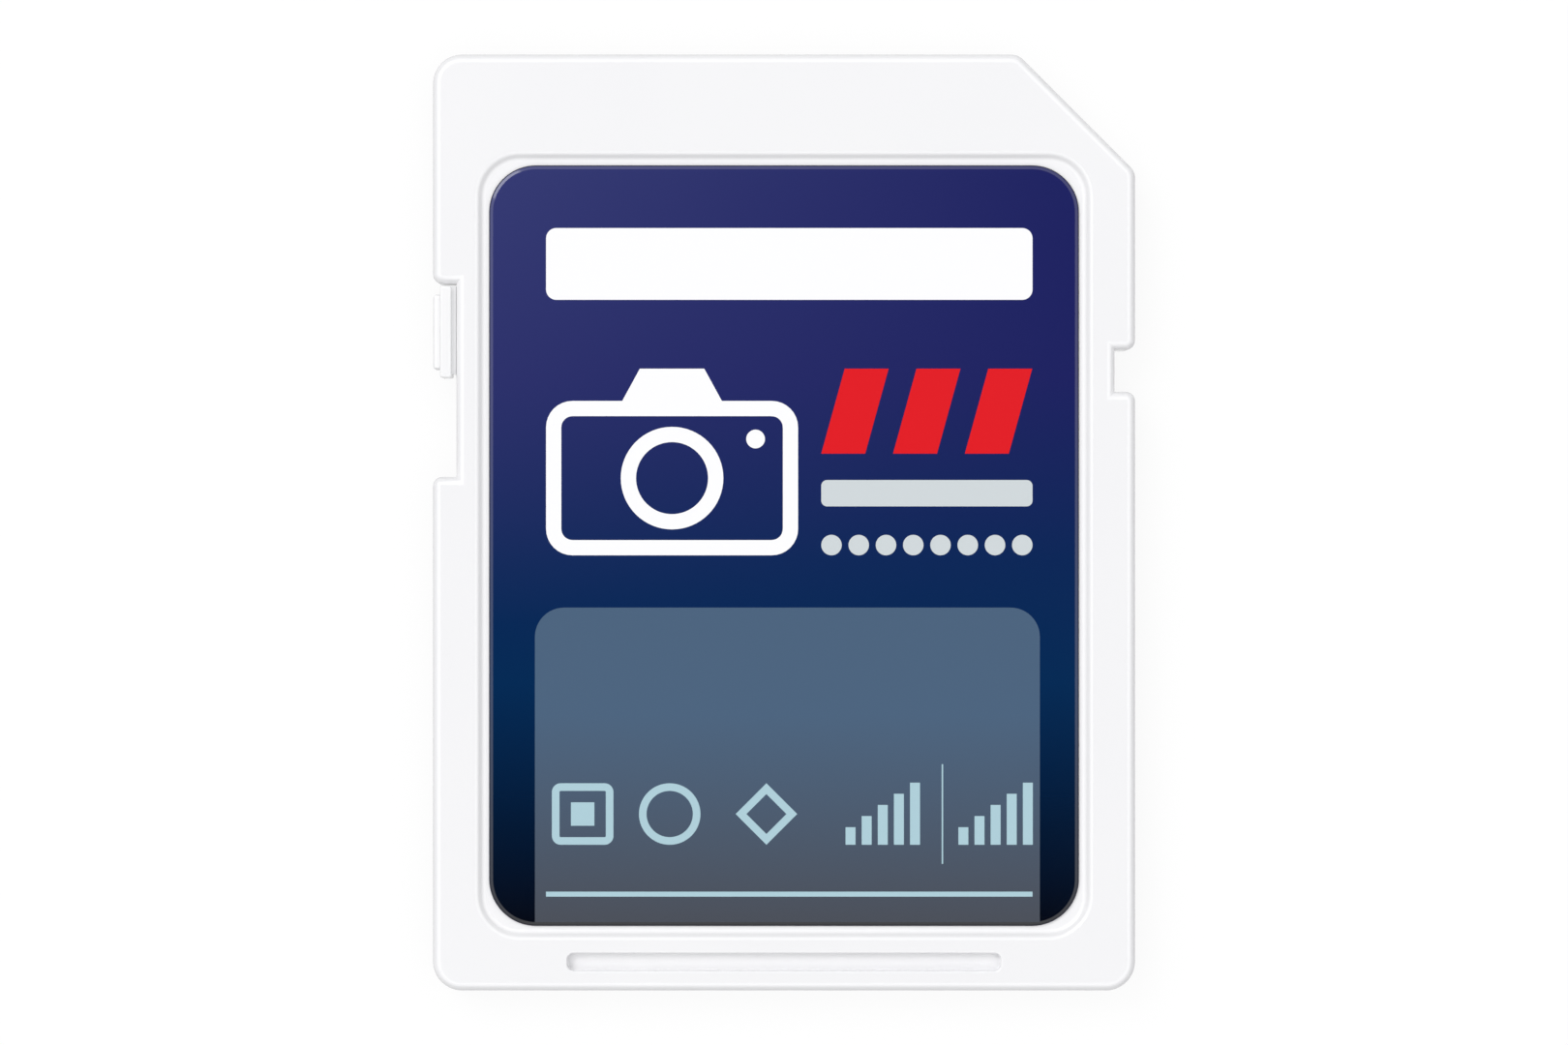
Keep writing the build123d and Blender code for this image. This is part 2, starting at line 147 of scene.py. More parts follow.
def upright_at(*places: Place) -> Test:
    """Makes a test for points and upright edges over some places of the plan.

    Args:
        places: X and Y of each place.

    Returns:
        The test.
    """

    def test(element: Element) -> bool:
        """Whether all points of an element stand over one of the places."""
        points = points_of(element)
        return any(all(abs(p.x - x) < TOUCH and abs(p.y - y) < TOUCH for p in points) for x, y in places)

    return test


def lip_of(low: Place, high: Place, height: float) -> Test:
    """Makes a test for the sharp edges round a hollow in a flat face.

    Args:
        low: Lowest X and Y of the hollow.
        high: Highest X and Y of the hollow.
        height: Height of the flat face.

    Returns:
        The test.
    """
    flat = at_height(height)

    def test(edge: bmesh.types.BMEdge) -> bool:
        """Tells whether an edge is part of the lip.

        Args:
            edge: An edge of the piece.

        Returns:
            Whether it lies flat and sharp within the bounds of the hollow.
        """
        inside = all(
            low[0] - TOUCH < p.x < high[0] + TOUCH and low[1] - TOUCH < p.y < high[1] + TOUCH
            for p in points_of(edge)
        )
        return inside and flat(edge) and edge.calc_face_angle(0.0) > LIP_ANGLE

    return test


def clear_selection() -> None:
    """Deselects every object, so that the next operator acts on the new one alone."""
    bpy.ops.object.select_all(action="DESELECT")


class Workpiece:
    """A mesh on the bench, shaped by operators in millimetres."""

    def __init__(self, name: str) -> None:
        """Takes up the object that was just added and puts its place in its mesh.

        Args:
            name: Name of the piece.
        """
        self.object = bpy.context.active_object
        self.rename(name)
        bpy.ops.object.transform_apply(location=True, rotation=True, scale=True)

    @classmethod
    def block(cls, name: str, low: Corner, high: Corner) -> Self:
        """Adds a block.

        Args:
            name: Name of the piece.
            low: Lowest corner.
            high: Highest corner.

        Returns:
            The new piece.
        """
        clear_selection()
        low, high = Vector(low), Vector(high)
        bpy.ops.mesh.primitive_cube_add(size=1, location=(low + high) / 2, scale=high - low)
        return cls(name)

    @classmethod
    def round_block(cls, name: str, low: Corner, high: Corner, rounding: Rounding) -> Self:
        """Adds a block between two corners, with rounded upright edges."""
        corners = upright_at(*((x, y) for x in (low[0], high[0]) for y in (low[1], high[1])))
        return cls.block(name, low, high).bevel(corners, *rounding)

    @classmethod
    def rod(cls, name: str, place: Place, radius: float, heights: Span, sides: int = 40) -> Self:
        """Adds an upright rod.

        Args:
            name: Name of the piece.
            place: X and Y of the axis.
            radius: Radius.
            heights: Heights of both ends, the lower one first.
            sides: Number of flats that stand for the round.

        Returns:
            The new piece.
        """
        clear_selection()
        depth, middle = heights[1] - heights[0], (*place, (heights[0] + heights[1]) / 2)
        bpy.ops.mesh.primitive_cylinder_add(vertices=sides, radius=radius, depth=depth, location=middle)
        return cls(name)

    def copy(self, shift: Place) -> Self:
        """Copies the piece, with a mesh of its own.

        Args:
            shift: Move of the copy along X and Y.

        Returns:
            The copy.
        """
        self.activate()
        bpy.ops.object.duplicate_move(TRANSFORM_OT_translate={"value": (*shift, 0)})
        return type(self)(self.object.name)

    def row(self, count: int, pitch: Place) -> list[Self]:
        """This piece and copies of it, up to a count, with a pitch along X and Y."""
        return [self, *(self.copy((index * pitch[0], index * pitch[1])) for index in range(1, count))]

    def rename(self, name: str) -> None:
        """Names the object and its mesh."""
        self.object.name = name
        self.object.data.name = name

    def activate(self) -> None:
        """Makes this the one selected and active object."""
        clear_selection()
        self.object.select_set(True)
        bpy.context.view_layer.objects.active = self.object

    @contextmanager
    def picked(self, pick: Pick, test: Test) -> Iterator[None]:
        """Opens the mesh in edit mode, with the elements selected that pass a test.

        Args:
            pick: Kind of element.
            test: Says whether an element is selected.

        Returns:
            A context for the steps that act on the selection.
        """
        self.activate()
        bpy.ops.object.mode_set(mode="EDIT")
        bpy.ops.mesh.select_mode(type=pick.value)
        bpy.ops.mesh.select_all(action="DESELECT")
        mesh = bmesh.from_edit_mesh(self.object.data)
        for element in {Pick.POINTS: mesh.verts, Pick.EDGES: mesh.edges, Pick.FACES: mesh.faces}[pick]:
            if test(element):
                element.select_set(True)
        mesh.select_flush_mode()
        bmesh.update_edit_mesh(self.object.data)
        yield
        bpy.ops.object.mode_set(mode="OBJECT")

    def bevel(self, test: Test, width: float, steps: int, pick: Pick = Pick.EDGES) -> Self:
        """Rounds the edges, or the corners of a flat piece, that pass a test.

        Args:
            test: Says which edges or points are rounded.
            width: Reach of the rounding.
            steps: Number of flats in the rounding.
            pick: Edges, or points on a flat piece.

        Returns:
            The piece itself.
        """
        affect = "VERTICES" if pick is Pick.POINTS else "EDGES"
        with self.picked(pick, test):
            bpy.ops.mesh.bevel(offset=width, segments=steps, affect=affect, clamp_overlap=True)
        return self

    def slice(self, point: Vector, normal: Vector) -> None:
        """Cuts off what lies past a point in the direction of a normal, and closes the cut."""
        with self.picked(Pick.FACES, everything):
            bpy.ops.mesh.bisect(plane_co=point, plane_no=normal, use_fill=True, clear_outer=True)

    def hollow(self, stroke: float) -> Self:
        """Leaves only a rim of a flat piece.

        Args:
            stroke: Width of the rim.

        Returns:
            The piece itself.
        """
        with self.picked(Pick.FACES, everything):
            bpy.ops.mesh.inset(thickness=stroke, use_even_offset=True)
            bpy.ops.mesh.delete(type="FACE")
        return self

    def crown(self, test: Test, width: float, height: float) -> None:
        """Raises the flat face that passes a test by a height, on a slope of some width."""
        with self.picked(Pick.FACES, test):
            bpy.ops.mesh.inset(thickness=width, depth=height, use_even_offset=True)

    def lean(self, test: Test, shift: float) -> None:
        """Slides the points of a flat piece that pass a test along X."""
        with self.picked(Pick.POINTS, test):
            bpy.ops.transform.translate(value=(shift, 0, 0))

    def thicken(self, height: float) -> None:
        """Raises a flat piece to a solid.

        Args:
            height: Thickness of the solid.
        """
        with self.picked(Pick.FACES, everything):
            bpy.ops.mesh.extrude_region_move(TRANSFORM_OT_translate={"value": (0, 0, height)})
            bpy.ops.mesh.select_all(action="SELECT")
            bpy.ops.mesh.normals_make_consistent(inside=False)

    def combine(self, tool: Self, way: Combine) -> None:
        """Cuts a tool's shape out of the piece, or welds it on, and uses the tool up.

        Args:
            tool: The other piece.
            way: Cut or weld.
        """
        modifier = self.object.modifiers.new("combine", "BOOLEAN")
        modifier.operation = way.value
        modifier.solver = "EXACT"
        modifier.object = tool.object
        self.activate()
        bpy.ops.object.modifier_apply(modifier=modifier.name)
        bpy.data.meshes.remove(tool.object.data)

    def gather(self, others: list[Self]) -> Self:
        """Joins loose pieces to this one.

        Args:
            others: The pieces to join.

        Returns:
            The piece itself.
        """
        self.activate()
        for other in others:
            other.object.select_set(True)
        if others:
            bpy.ops.object.join()
        return self

    def hand_over(
        self, material: Material, body: Body, slot: Slot, *nodes: str, crease: float = 32.0
    ) -> None:
        """Smooths the piece, brings it to metres and fits it to the frame.

        Args:
            material: Its finish.
            body: The body that it rides on.
            slot: The record's slot for its finish; not used.
            nodes: CAD nodes that it stands for.
            crease: Angle in degrees past which an edge stays sharp.
        """
        self.activate()
        bpy.ops.object.shade_smooth_by_angle(angle=radians(crease))
        modifier = self.object.modifiers.new("even_faces", "WEIGHTED_NORMAL")
        modifier.keep_sharp = True
        bpy.ops.object.modifier_apply(modifier=modifier.name)
        self.object.scale = (MILLIMETRE, MILLIMETRE, MILLIMETRE)
        bpy.ops.object.transform_apply(location=False, rotation=False, scale=True)
        self.object.data.materials.clear()
        self.object.data.materials.append(material)
        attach(self.object, body.value)
        if nodes:
            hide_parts(*nodes)
        log.info("%s: %d faces", self.object.name, len(self.object.data.polygons))


class NodeDesk:
    """Adds and links the nodes of one tree."""

    def __init__(self, tree: bpy.types.NodeTree) -> None:
        """Starts on an empty tree."""
        self.tree = tree
        tree.nodes.clear()

    def feed(self, socket: Socket, value: object) -> None:
        """Links an output to an input socket, or sets the socket's own value.

        Args:
            socket: The input socket.
            value: An output or a plain value.
        """
        if isinstance(value, Socket):
            self.tree.links.new(value, socket)
        else:
            socket.default_value = value

    def add(self, kind: str, inputs: Sockets, **options: object) -> Node:
        """Adds a node.

        Args:
            kind: Type of the node.
            inputs: Values or outputs for its input sockets, by name or number.
            options: Settings of the node.

        Returns:
            The node.
        """
        node = self.tree.nodes.new(kind)
        for name, value in options.items():
            setattr(node, name, value)
        for key, value in inputs.items():
            self.feed(node.inputs[key], value)
        return node

    def place(self) -> Socket:
        """Object coordinates of the surface."""
        return self.add("ShaderNodeTexCoord", {}).outputs["Object"]

    def part(self, vector: Socket, axis: str) -> Socket:
        """Part of a vector along an axis."""
        return self.add("ShaderNodeSeparateXYZ", {0: vector}).outputs[axis]

    def math(self, operation: str, *values: object) -> Socket:
        """Result of an operation on some values."""
        return self.add("ShaderNodeMath", dict(enumerate(values)), operation=operation).outputs[0]

    def noise(self, vector: Socket, scale: object, detail: float) -> Socket:
        """Value of a noise with some scale and detail."""
        return self.add("ShaderNodeTexNoise", {"Vector": vector, "Scale": scale, "Detail": detail}).outputs[0]

    def spread(self, value: Socket, low: float, high: float) -> Socket:
        """Maps a value from 0 to 1 to a range."""
        return self.add("ShaderNodeMapRange", {"Value": value, "To Min": low, "To Max": high}).outputs[0]

    def share(self, value: Socket, start: object, end: object) -> Socket:
        """Maps a value to 0 at a start and 1 at an end."""
        return self.add("ShaderNodeMapRange", {"Value": value, "From Min": start, "From Max": end}).outputs[0]

    def fade(self, axis: str, start: float, end: float) -> Socket:
        """Value that goes from 0 to 1 along an axis, between two places in millimetres."""
        return self.share(self.part(self.place(), axis), start * MILLIMETRE, end * MILLIMETRE)

    def blend(self, share: Socket, first: object, second: object) -> Socket:
        """Blends two colours by the share of the second."""
        sockets = {"Factor": share, 6: first, 7: second}
        return self.add("ShaderNodeMix", sockets, data_type="RGBA").outputs[2]

    def ramp(self, value: Socket, stops: Stops) -> Socket:
        """Looks a value up in a row of colours.

        Args:
            value: The value, from 0 to 1.
            stops: Place and colour of each stop.

        Returns:
            The colour.
        """
        node = self.add("ShaderNodeValToRGB", {"Fac": value})
        elements = node.color_ramp.elements
        while len(elements) < len(stops):
            elements.new(1.0)
        for element, (place, colour) in zip(elements, stops):
            element.position = place
            element.color = linear(colour)
        return node.outputs["Color"]


@dataclass(frozen=True)
class Grain:
    """Sizes of a finish's grains and broad clouds in millimetres, and depth and strength of its relief."""

    GRAIN_DETAIL = 3.0
    CLOUD_DETAIL = 2.0

    size: float
    cloud_size: float
    depth: float
    strength: float

    @classmethod
    @cache
    def group(cls) -> bpy.types.NodeTree:
        """Builds, once, the node group that the finishes share: a fine grain over a broad cloudiness.

        Returns:
            The group.
        """
        tree = bpy.data.node_groups.new("grain", "ShaderNodeTree")
        for title in ("Grains per Metre", "Clouds per Metre"):
            tree.interface.new_socket(title, in_out="INPUT", socket_type="NodeSocketFloat")
        for title in ("Height", "Cloud"):
            tree.interface.new_socket(title, in_out="OUTPUT", socket_type="NodeSocketFloat")
        desk = NodeDesk(tree)
        scales, place = desk.add("NodeGroupInput", {}).outputs, desk.place()
        fine = desk.noise(place, scales["Grains per Metre"], cls.GRAIN_DETAIL)
        broad = desk.noise(place, scales["Clouds per Metre"], cls.CLOUD_DETAIL)
        desk.add("NodeGroupOutput", {"Height": fine, "Cloud": broad})
        return tree

    def add(self, desk: NodeDesk) -> Node:
        """Adds the shared grain to a material's desk, in these sizes."""
        scales = [1 / (size * MILLIMETRE) for size in (self.size, self.cloud_size)]
        return desk.add("ShaderNodeGroup", dict(enumerate(scales)), node_tree=self.group())

    def relief(self, desk: NodeDesk, height: Socket) -> Socket:
        """Normal that is bent by a height from 0 to 1."""
        sockets = {"Height": height, "Distance": self.depth * MILLIMETRE, "Strength": self.strength}
        return desk.add("ShaderNodeBump", sockets).outputs["Normal"]


@dataclass(frozen=True)
class Finish(ABC):
    """A finish: how a surface looks, built once as a material."""

    name: str

    @abstractmethod
    def sockets(self, desk: NodeDesk) -> Sockets:
        """Adds the finish's nodes and gives what its surface shader's sockets get, by name."""

    def build(self) -> Material:
        """Builds the material, which ends in one surface shader.

        Returns:
            The material.
        """
        material = bpy.data.materials.new(self.name)
        material.use_nodes = True
        desk = NodeDesk(material.node_tree)
        shader = desk.add("ShaderNodeBsdfPrincipled", self.sockets(desk))
        desk.add("ShaderNodeOutputMaterial", {"Surface": shader.outputs["BSDF"]})
        return material


@dataclass(frozen=True)
class MouldedPlastic(Finish):
    """Moulded plastic with a fine spark-eroded grain."""

    colour: Colour
    shade: Colour
    roughness: Span = (0.13, 0.19)
    gloss: float = 0.9
    grain: Grain = Grain(0.05, 6.0, 0.002, 0.3)

    def sockets(self, desk: NodeDesk) -> Sockets:
        """Adds a colour that drifts with the clouds.

        Args:
            desk: Desk of the material.

        Returns:
            Values and outputs for the surface shader.
        """
        grain = self.grain.add(desk)
        return {
            "Base Color": desk.blend(grain.outputs["Cloud"], linear(self.colour), linear(self.shade)),
            "Roughness": desk.spread(grain.outputs["Height"], *self.roughness),
            "Normal": self.grain.relief(desk, grain.outputs["Height"]),
            "Specular IOR Level": self.gloss,
        }


@dataclass(frozen=True)
class LabelFilm(Finish):
    """Glossy printed film: a printed blue that deepens down the card, with a painted sheen towards its upper
    left that stands for the lamp's reflection, and painted shade on its sloping rim.
    """

    bottom: float
    top: float
    side: float
    stops: Stops = (
        (0.0, (0, 3, 15)),
        (0.13, (0, 22, 50)),
        (0.32, (3, 41, 83)),
        (0.48, (10, 38, 86)),
        (0.72, (29, 33, 95)),
    )
    # Painted sheen: a paler blue laid over the print towards the upper left, standing for the reflection of
    # the key lamp.
    painted_sheen: Colour = (66, 72, 126)
    painted_sheen_share: float = 0.54
    painted_sheen_reach: float = 0.25
    # Painted shade: the near-black colour of the film's sloping rim, standing for the dark shadow line at the
    # label's edge.
    rim: Colour = (5, 6, 36)
    # Z of the surface's normal at which the painted shade starts and where it is full.
    shaded_rim_tilt: Span = (0.9, 0.78)
    rim_roughness: float = 0.7
    roughness: Span = (0.1, 0.14)
    coat: float = 0.3
    coat_roughness: float = 0.06
    grain: Grain = Grain(0.04, 9.0, 0.001, 0.1)

    def sockets(self, desk: NodeDesk) -> Sockets:
        """Adds the printed blue, a painted sheen towards the upper left that stands for the lamp's
        reflection, and painted shade where the film slopes: a dull dark rim.

        Args:
            desk: Desk of the material.

        Returns:
            Values and outputs for the surface shader.
        """
        grain = self.grain.add(desk)
        depth = desk.ramp(desk.fade("Y", self.bottom, self.top), self.stops)
        # left and upper make the painted sheen's mask, which is strongest at the upper left, where the lamp's
        # reflection is painted.
        left = desk.fade("X", self.side, -self.side)
        upper = desk.fade("Y", self.bottom * self.painted_sheen_reach, self.top)
        painted_sheen = desk.math("MULTIPLY", desk.math("MULTIPLY", left, upper), self.painted_sheen_share)
        facing = desk.add("ShaderNodeTexCoord", {}).outputs["Normal"]
        # Painted shade: the steeper the film slopes, the darker, duller and less coated it is drawn.
        rim = desk.share(desk.part(facing, "Z"), *self.shaded_rim_tilt)
        # The painted sheen lightens the printed blue.
        blue = desk.blend(painted_sheen, depth, linear(self.painted_sheen))
        smooth = desk.spread(grain.outputs["Cloud"], *self.roughness)
        return {
            # The painted shade turns the rim's colour dark.
            "Base Color": desk.blend(rim, blue, linear(self.rim)),
            "Roughness": desk.math("MAXIMUM", smooth, desk.math("MULTIPLY", rim, self.rim_roughness)),
            "Normal": self.grain.relief(desk, grain.outputs["Height"]),
            "Coat Weight": desk.spread(rim, self.coat, 0.0),
            "Coat Roughness": self.coat_roughness,
        }


@dataclass(frozen=True)
class PrintInk(Finish):
    """Screen-printed ink, plain or fading down the card to another colour."""

    colour: Colour
    foot_colour: Colour | None = None
    fade_rows: Span = (-13.8, -6.6)
    roughness: Span = (0.12, 0.18)
    grain: Grain = Grain(0.06, 4.0, 0.001, 0.1)

    def sockets(self, desk: NodeDesk) -> Sockets:
        """Adds the ink's colour and its fine grain.

        Args:
            desk: Desk of the material.

        Returns:
            Values and outputs for the surface shader.
        """
        grain = self.grain.add(desk)
        colour = linear(self.colour)
        if self.foot_colour:
            colour = desk.blend(desk.fade("Y", *self.fade_rows), linear(self.foot_colour), colour)
        return {
            "Base Color": colour,
            "Roughness": desk.spread(grain.outputs["Height"], *self.roughness),
            "Normal": self.grain.relief(desk, grain.outputs["Height"]),
        }


@dataclass(frozen=True)
class GoldPlate(Finish):
    """Hard gold on contact pads, with light scuffs along the way into a socket."""

    colour: Colour = (242, 196, 108)
    worn: Colour = (226, 205, 150)
    scuffs_per_metre: float = 9.0e3
    scuff_detail: float = 2.0
    scuff_stretch: Corner = (1.0, 0.04, 1.0)
    scuff_edge: Span = (0.65, 0.77)
    scuff_share: float = 0.5
    scuff_roughness: float = 0.2
    roughness: Span = (0.2, 0.34)
    grain: Grain = Grain(0.03, 1.6, 0.002, 0.35)

    def sockets(self, desk: NodeDesk) -> Sockets:
        """Adds the gold and the scuffs, which are sunk and duller.

        Args:
            desk: Desk of the material.

        Returns:
            Values and outputs for the surface shader.
        """
        grain = self.grain.add(desk)
        drawn = desk.add("ShaderNodeMapping", {"Vector": desk.place(), "Scale": self.scuff_stretch})
        lines = desk.noise(drawn.outputs[0], self.scuffs_per_metre, self.scuff_detail)
        marks = desk.math("MULTIPLY", desk.share(lines, *self.scuff_edge), self.scuff_share)
        height = desk.math("SUBTRACT", grain.outputs["Height"], marks)
        rough = desk.spread(grain.outputs["Cloud"], *self.roughness)
        return {
            "Base Color": desk.blend(marks, linear(self.colour), linear(self.worn)),
            "Metallic": 1.0,
            "Roughness": desk.math("ADD", rough, desk.math("MULTIPLY", marks, self.scuff_roughness)),
            "Normal": self.grain.relief(desk, height),
        }


@dataclass(frozen=True)
class SolderMask(Finish):
    """Lacquered circuit board, with the copper tracks showing as a faint relief."""

    colour: Colour = (14, 44, 30)
    track_colour: Colour = (24, 66, 44)
    track_pitch: float = 0.5
    track_stretch: Corner = (1.0, 0.35, 0.0)
    track_edge: Span = (0.55, 0.65)
    wave_length: float = 0.3
    bend: float = 6.0
    bend_scale: float = 0.2
    roughness: Span = (0.24, 0.36)
    grain: Grain = Grain(0.05, 2.5, 0.02, 0.5)

    def sockets(self, desk: NodeDesk) -> Sockets:
        """Adds the lacquer and the tracks, as bent waves with hard edges.

        Args:
            desk: Desk of the material.

        Returns:
            Values and outputs for the surface shader.
        """
        grain = self.grain.add(desk)
        vectors = {0: desk.place(), 1: self.track_stretch}
        inputs = {
            "Vector": desk.add("ShaderNodeVectorMath", vectors, operation="MULTIPLY").outputs[0],
            "Scale": self.wave_length / (self.track_pitch * MILLIMETRE),
            "Distortion": self.bend,
            "Detail": 0.0,
            "Detail Scale": self.bend_scale,
        }
        waves = desk.add("ShaderNodeTexWave", inputs)
        tracks = desk.share(waves.outputs["Fac"], *self.track_edge)
        return {
            "Base Color": desk.blend(tracks, linear(self.colour), linear(self.track_colour)),
            "Roughness": desk.spread(grain.outputs["Cloud"], *self.roughness),
            "Normal": self.grain.relief(desk, tracks),
        }


@dataclass(frozen=True)
class TinnedChip(Finish):
    """Chip parts in a column, with tinned caps at both ends of each."""

    body_colour: Colour
    middle: float
    waist: float = 0.56
    tin: Colour = (196, 196, 192)
    roughness: Span = (0.3, 0.45)
    grain: Grain = Grain(0.04, 0.8, 0.003, 0.4)

    def sockets(self, desk: NodeDesk) -> Sockets:
        """Adds the body's colour and the caps on both sides of the column's middle.

        Args:
            desk: Desk of the material.

        Returns:
            Values and outputs for the surface shader.
        """
        grain = self.grain.add(desk)
        offset = desk.math("SUBTRACT", desk.part(desk.place(), "X"), self.middle * MILLIMETRE)
        caps = desk.math("GREATER_THAN", desk.math("ABSOLUTE", offset), self.waist / 2 * MILLIMETRE)
        return {
            "Base Color": desk.blend(caps, linear(self.body_colour), linear(self.tin)),
            "Metallic": caps,
            "Roughness": desk.spread(grain.outputs["Cloud"], *self.roughness),
            "Normal": self.grain.relief(desk, grain.outputs["Height"]),
        }


@dataclass(frozen=True)
class Notch:
    """A notch in a long side: the side's sign on X, its start from the front edge, length and depth."""

    side: int
    start: float
    length: float
    depth: float


@dataclass(frozen=True)
class Hollow:
    """A hollow in the front face: its lip in plan, its floor's height, its roundings and its wall's slope."""

    name: str
    low: Place
    high: Place
    floor: float
    radius: float
    lip: Rounding
    foot: Rounding
    slope: float = 0.0


@dataclass
class Housing:
    """Front and back halves of the housing, welded at the seam."""

    white: Material
    corner_radius: float = 1.0
    corner_steps: int = 14
    corner_cut: float = 4.0
    cut_radius: float = 0.5
    cut_steps: int = 7
    edge: Rounding = (0.3, 8)
    mouth: Rounding = (0.32, 7)
    seam_height: float = 1.4
    seam: Rounding = (0.04, 2)
    lock_notch: Notch = Notch(-1, 7.84, 6.6, 0.8)
    latch_notch: Notch = Notch(1, 10.1, 1.43, 0.7)
    recess: Hollow = Hollow(
        "recess", low=(-10.47, -14.18), high=(10.47, 12.6), floor=1.9,
        radius=1.45, lip=(0.09, 4), foot=(0.1, 6), slope=0.25,
    )
    groove: Hollow = Hollow(
        "groove", low=(-7.4, -15.3), high=(7.4, -14.7), floor=1.7,
        radius=0.22, lip=(0.06, 4), foot=(0.03, 3),
    )
    wall: float = 1.2
    ceiling: float = 1.68
    cavity_radius: float = 0.4
    board_clearance: float = 0.1
    rib_width: float = 0.6
    pin_radius: float = 0.5
    pin_inset: float = 1.3
    pin_clearance: float = 0.05
    pin_foot: float = 0.441
    slot_half_height: float = 0.23
    slot_clearance: float = 0.05
    rail_bottom: float = 0.7
    rail_width: float = 0.9
    slab_radius: float = 0.6
    back_edge: Rounding = (0.12, 4)
    lead_in: float = 0.3
    pad_margin: float = 0.12
    seat_step: float = 0.02
    seat_overrun: float = 0.1
    floor_rib: float = 0.8
    pocket_rows: int = 3
    pocket_corner: Rounding = (0.5, 6)

    def __post_init__(self) -> None:
        """Takes the outline and the heights of the inner parts from the frame."""
        self.half_width, self.front, self.top = node_box("front_shell")[1]
        board_low, board_high = node_box("circuit_board")
        self.board_bottom, self.board_top = board_low.z, board_high.z
        self.pads = [node_box(f"contact_{number}") for number in CONTACT_NUMBERS]

    def cut_line(self, inset: float) -> float:
        """Sum of X and Y along the corner cut, moved in by an inset."""
        return self.half_width + self.front - self.corner_cut - sqrt(2) * inset

    def cut_plane(self, inset: float) -> tuple[Vector, Vector]:
        """A point on the plane of the corner cut, moved in by an inset, and its outward direction."""
        return Vector((self.cut_line(inset) / 2, self.cut_line(inset) / 2, 0)), Vector((1, 1, 0))

    def outline(
        self, name: str, heights: Span, radius: float, cut_radius: float, inset: float = 0, rail: float = 0
    ) -> Workpiece:
        """Makes a block in the outline of the card, with its corner cut and its upright edges rounded.

        Args:
            name: Name of the piece.
            heights: Heights of its lower and upper face.
            radius: Radius of its square corners.
            cut_radius: Radius at both ends of the corner cut.
            inset: How far every side is moved in.
            rail: How far the long sides are moved in on top of that.

        Returns:
            The block.
        """
        right, front, line = self.half_width - inset - rail, self.front - inset, self.cut_line(inset)
        block = Workpiece.block(name, (-right, -front, heights[0]), (right, front, heights[1]))
        block.slice(*self.cut_plane(inset))
        block.bevel(upright_at((-right, -front), (right, -front), (-right, front)), radius, self.corner_steps)
        ends = upright_at((right, line - right), (line - front, front))
        return block.bevel(ends, cut_radius * tan(CUT_TURN / 2), self.cut_steps)

    def half(self, name: str, bottom: float, top: float) -> Workpiece:
        """Makes a block in the full outline, with both side notches and a softened edge at the seam.

        Args:
            name: Name of the piece.
            bottom: Height of its lower face.
            top: Height of its upper face.

        Returns:
            The block.
        """
        shell = self.outline(name, (bottom, top), self.corner_radius, self.cut_radius)
        for notch in (self.lock_notch, self.latch_notch):
            side, high = notch.side * self.half_width, self.front - notch.start
            low = high - notch.length
            ends = sorted((side - notch.side * notch.depth, side + notch.side * OVERRUN))
            tool = Workpiece.block("notch", (ends[0], low, -OVERRUN), (ends[1], high, self.top + OVERRUN))
            shell.combine(tool, Combine.CUT)
            shell.bevel(upright_at((side, low), (side, high)), *self.mouth)
        shell.bevel(at_height(self.seam_height), *self.seam)
        return shell

    def sink(self, shell: Workpiece, hollow: Hollow) -> None:
        """Sinks a hollow into the front face and softens its lip. A sloping wall passes the lip.

        Args:
            shell: The front shell.
            hollow: The hollow.
        """
        past = max(0.0, hollow.slope - self.top + hollow.floor)
        low = (hollow.low[0] - past, hollow.low[1] - past, hollow.floor)
        high = (hollow.high[0] + past, hollow.high[1] + past, self.top + OVERRUN)
        corner = (hollow.radius + past, self.corner_steps)
        tool = Workpiece.round_block(hollow.name, low, high, corner)
        if hollow.slope:
            tool.bevel(at_height(hollow.floor), hollow.slope, 1)
        tool.bevel(at_height(hollow.floor), *hollow.foot)
        shell.combine(tool, Combine.CUT)
        shell.bevel(lip_of(hollow.low, hollow.high, self.top), *hollow.lip)

    def cavity(self, bottom: float, top: float) -> Workpiece:
        """Makes a tool for the cavity between both halves, from its floor to its ceiling."""
        return self.outline("cavity", (bottom, top), self.cavity_radius, self.cavity_radius, self.wall)

    def slot(self) -> Workpiece:
        """Makes a tool for the slot that the lock slider's web runs in.

        Returns:
            The tool.
        """
        low, high = node_box("lock_slider")
        travel = frame["joints"][0]["range_m"][1] / MILLIMETRE
        outer = -self.half_width + self.lock_notch.depth - OVERRUN / 2
        inner = -self.half_width + self.wall + self.slot_clearance
        back = low.y + LockSlider.web_inset - travel - self.slot_clearance
        return Workpiece.block(
            "slot",
            (outer, back, self.seam_height - self.slot_half_height),
            (inner, high.y + self.slot_clearance, self.seam_height + self.slot_half_height),
        )

    def pin_places(self) -> list[Place]:
        """Places of both locating pins.

        Returns:
            X and Y of each pin.
        """
        x = self.half_width - self.wall - self.pin_inset
        y = -self.front + self.wall + self.pin_inset
        return [(-x, y), (x, y)]

